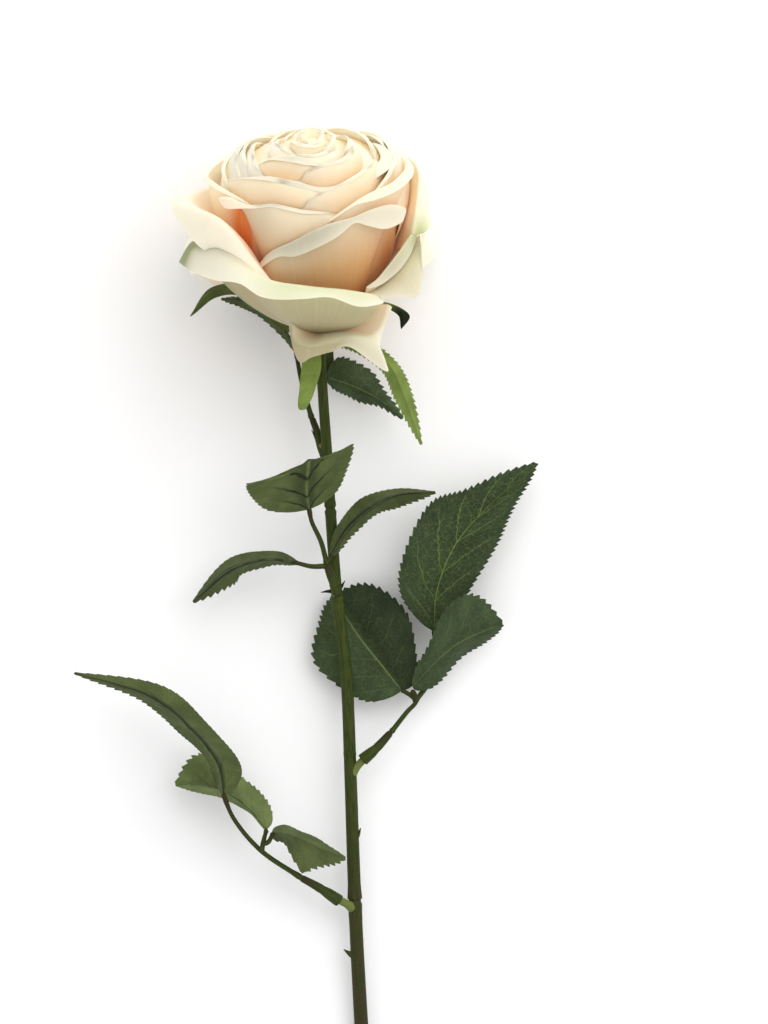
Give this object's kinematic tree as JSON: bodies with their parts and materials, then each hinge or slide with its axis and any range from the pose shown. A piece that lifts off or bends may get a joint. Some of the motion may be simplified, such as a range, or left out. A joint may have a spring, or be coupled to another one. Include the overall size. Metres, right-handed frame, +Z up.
{
  "type": "cut rose",
  "caption": "Open, high-centred cream rose on a cut stem with thorns, a calyx and sprays of toothed leaves, lying on a table.",
  "frame": {"origin": "on the table plane, under the middle of the outline seen from above", "axes": "+Y along the stem, from its cut end towards the bloom; +Z up out of the table; +X to the right of the picture"},
  "size_m": [0.1846, 0.4008, 0.0949],
  "materials": {
    "petals": "matt cream cloth with a soft sheen, peach in the depths and pale green at some edges",
    "calyx": "matt olive green cloth, darker at the tips",
    "leaves": "matt dark green cloth with lighter net veins",
    "stems": "satin green with brown streaks"
  },
  "bodies": {
    "root": {"bloom": "petals", "calyx": "calyx", "stem": "stems", "spray_upper_stalk": "stems", "spray_top_stalk": "stems", "spray_middle_stalk": "stems", "spray_lower_stalk": "stems", "leaf_upper_end": "leaves", "leaf_upper_left": "leaves", "leaf_upper_right": "leaves", "leaf_top_left": "leaves", "leaf_top_right": "leaves", "leaf_middle_end": "leaves", "leaf_middle_left": "leaves", "leaf_middle_right": "leaves", "leaf_lower_end": "leaves", "leaf_lower_left": "leaves", "leaf_lower_right": "leaves"}
  },
  "joints": []
}
